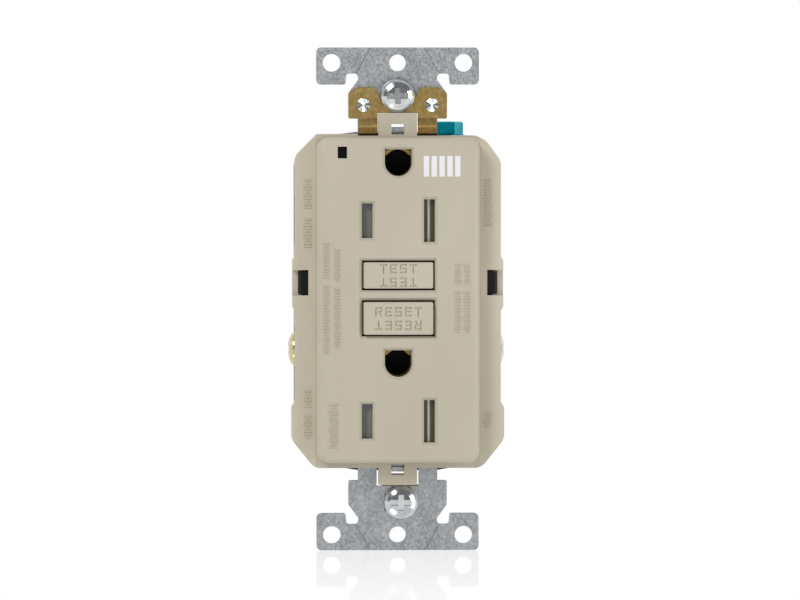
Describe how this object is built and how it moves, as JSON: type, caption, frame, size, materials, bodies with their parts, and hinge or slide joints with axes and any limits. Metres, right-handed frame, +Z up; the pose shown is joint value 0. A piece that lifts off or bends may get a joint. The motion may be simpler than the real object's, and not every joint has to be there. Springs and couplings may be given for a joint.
{
  "type": "gfci outlet",
  "caption": "Tamper-resistant ground-fault receptacle with steel strap, raised face, push buttons, shuttered slots, side screw terminals and a green ground screw.",
  "frame": {"origin": "middle of the strap's back face, midway between the two mounting screws", "axes": "+X to the right seen from the front, +Y into the wall box, +Z up; the face looks along -Y"},
  "size_m": [0.0448, 0.0383, 0.1032],
  "materials": {
    "cover_plastic": "satin",
    "button_plastic": "satin",
    "body_plastic": "satin",
    "inner_plastic": "matte",
    "carriage_plastic": "matte",
    "shutter_plastic": "satin",
    "zinc_steel": "satin",
    "screw_steel": "bright",
    "brass": "satin",
    "brass_screw": "bright",
    "green_screw": "gloss",
    "fibre": "matte",
    "spring_steel": "bright",
    "board": "satin",
    "chip": "matte",
    "component": "gloss",
    "copper": "gloss",
    "ferrite": "matte",
    "clear": "clear"
  },
  "bodies": {
    "root": {"back_body": "body_plastic", "capacitors": "component", "circuit_board": "board", "control_chip": "chip", "diodes": "chip", "film_capacitor": "component", "front_cover": "cover_plastic", "ground_plate": "brass", "ground_terminal": "brass", "grounded_neutral_core": "ferrite", "hot_face_contacts": "brass", "light_pipe": "clear", "line_conductors": "copper", "line_hot_terminal": "brass", "line_neutral_terminal": "brass", "load_hot_terminal": "brass", "load_neutral_terminal": "brass", "lower_ground_contact": "brass", "lower_shutter_frame": "carriage_plastic", "mounting_strap": "zinc_steel", "neutral_face_contacts": "brass", "resistors": "component", "sense_core": "ferrite", "separator": "inner_plastic", "solenoid_bobbin": "inner_plastic", "solenoid_frame": "zinc_steel", "solenoid_winding": "copper", "status_lamp": "clear", "strap_rivets": "screw_steel", "test_switch_blade": "brass", "thyristor": "chip", "transformer_spool": "inner_plastic", "upper_shutter_frame": "carriage_plastic", "varistor": "component"},
    "test_button": {"test_button": "button_plastic"},
    "reset_button": {"reset_button": "button_plastic", "reset_pin": "spring_steel", "reset_spring": "spring_steel"},
    "contact_carriage": {"contact_carriage": "carriage_plastic", "moving_contacts": "brass"},
    "latch_slide": {"latch_slide": "spring_steel"},
    "solenoid_plunger": {"solenoid_plunger": "spring_steel"},
    "upper_shutter": {"upper_shutter": "shutter_plastic"},
    "lower_shutter": {"lower_shutter": "shutter_plastic"},
    "ground_screw": {"ground_screw": "green_screw"},
    "line_hot_clamp": {"line_hot_clamp": "zinc_steel"},
    "line_hot_screw": {"line_hot_screw": "brass_screw"},
    "load_hot_clamp": {"load_hot_clamp": "zinc_steel"},
    "load_hot_screw": {"load_hot_screw": "brass_screw"},
    "line_neutral_clamp": {"line_neutral_clamp": "zinc_steel"},
    "line_neutral_screw": {"line_neutral_screw": "screw_steel"},
    "load_neutral_clamp": {"load_neutral_clamp": "zinc_steel"},
    "load_neutral_screw": {"load_neutral_screw": "screw_steel"},
    "retaining_washer_top": {"retaining_washer_top": "fibre"},
    "mounting_screw_top": {"mounting_screw_top": "screw_steel"},
    "retaining_washer_bottom": {"retaining_washer_bottom": "fibre"},
    "mounting_screw_bottom": {"mounting_screw_bottom": "screw_steel"}
  },
  "joints": [
    {"name": "test_button_press", "type": "slide", "parent": "root", "child": "test_button", "axis": [0, 1, 0], "range_m": [0, 0.0012], "stiffness_N_per_m": 600, "springref_m": -0.0005},
    {"name": "reset_button_press", "type": "slide", "parent": "root", "child": "reset_button", "axis": [0, 1, 0], "range_m": [0, 0.0022], "stiffness_N_per_m": 600, "springref_m": -0.0008},
    {"name": "contact_carriage_lift", "type": "slide", "parent": "root", "child": "contact_carriage", "axis": [0, -1, 0], "range_m": [0, 0.0014], "stiffness_N_per_m": 300, "springref_m": -0.0005},
    {"name": "solenoid_plunger_stroke", "type": "slide", "parent": "root", "child": "solenoid_plunger", "axis": [0, 0, -1], "range_m": [0, 0.0012], "stiffness_N_per_m": 300, "springref_m": -0.0005},
    {"name": "latch_slide_shift", "type": "slide", "parent": "contact_carriage", "child": "latch_slide", "axis": [0, 0, -1], "range_m": [0, 0.0012]},
    {"name": "upper_shutter_slide", "type": "slide", "parent": "root", "child": "upper_shutter", "axis": [1, 0, 0], "range_m": [0, 0.0026], "stiffness_N_per_m": 80, "springref_m": -0.001},
    {"name": "lower_shutter_slide", "type": "slide", "parent": "root", "child": "lower_shutter", "axis": [1, 0, 0], "range_m": [0, 0.0026], "stiffness_N_per_m": 80, "springref_m": -0.001},
    {"name": "ground_screw_turn", "type": "hinge", "parent": "root", "child": "ground_screw", "pos_m": [0.01, 0.0062, 0.0329], "axis": [0, 0, 1], "continuous": true},
    {"name": "line_hot_clamp_slide", "type": "slide", "parent": "root", "child": "line_hot_clamp", "axis": [1, 0, 0], "range_m": [0, 0.002]},
    {"name": "line_hot_screw_turn", "type": "hinge", "parent": "line_hot_clamp", "child": "line_hot_screw", "pos_m": [-0.017, 0.011, -0.0108], "axis": [1, 0, 0], "range_deg": [0, 907]},
    {"name": "load_hot_clamp_slide", "type": "slide", "parent": "root", "child": "load_hot_clamp", "axis": [-1, 0, 0], "range_m": [0, 0.002]},
    {"name": "load_hot_screw_turn", "type": "hinge", "parent": "load_hot_clamp", "child": "load_hot_screw", "pos_m": [-0.017, 0.011, 0.016], "axis": [-1, 0, 0], "range_deg": [0, 907]},
    {"name": "line_neutral_clamp_slide", "type": "slide", "parent": "root", "child": "line_neutral_clamp", "axis": [-1, 0, 0], "range_m": [0, 0.002]},
    {"name": "line_neutral_screw_turn", "type": "hinge", "parent": "line_neutral_clamp", "child": "line_neutral_screw", "pos_m": [0.017, 0.011, -0.0108], "axis": [-1, 0, 0], "range_deg": [0, 907]},
    {"name": "load_neutral_clamp_slide", "type": "slide", "parent": "root", "child": "load_neutral_clamp", "axis": [1, 0, 0], "range_m": [0, 0.002]},
    {"name": "load_neutral_screw_turn", "type": "hinge", "parent": "load_neutral_clamp", "child": "load_neutral_screw", "pos_m": [0.017, 0.011, 0.016], "axis": [1, 0, 0], "range_deg": [0, 907]},
    {"name": "mounting_screw_top_float", "type": "slide", "parent": "root", "child": "retaining_washer_top", "axis": [0, -1, 0], "range_m": [0, 0.0049]},
    {"name": "mounting_screw_top_turn", "type": "hinge", "parent": "retaining_washer_top", "child": "mounting_screw_top", "pos_m": [0, 0, 0.04165], "axis": [0, 1, 0], "continuous": true},
    {"name": "mounting_screw_bottom_float", "type": "slide", "parent": "root", "child": "retaining_washer_bottom", "axis": [0, -1, 0], "range_m": [0, 0.0049]},
    {"name": "mounting_screw_bottom_turn", "type": "hinge", "parent": "retaining_washer_bottom", "child": "mounting_screw_bottom", "pos_m": [0.0007, 0, -0.04165], "axis": [0, 1, 0], "continuous": true}
  ],
  "couplings": [
    {"joint": "latch_slide_shift", "follows": "solenoid_plunger_stroke", "ratio": 1},
    {"joint": "line_hot_screw_turn", "follows": "line_hot_clamp_slide", "rad_per_m": 7913.3},
    {"joint": "load_hot_screw_turn", "follows": "load_hot_clamp_slide", "rad_per_m": 7913.3},
    {"joint": "line_neutral_screw_turn", "follows": "line_neutral_clamp_slide", "rad_per_m": 7913.3},
    {"joint": "load_neutral_screw_turn", "follows": "load_neutral_clamp_slide", "rad_per_m": 7913.3}
  ]
}
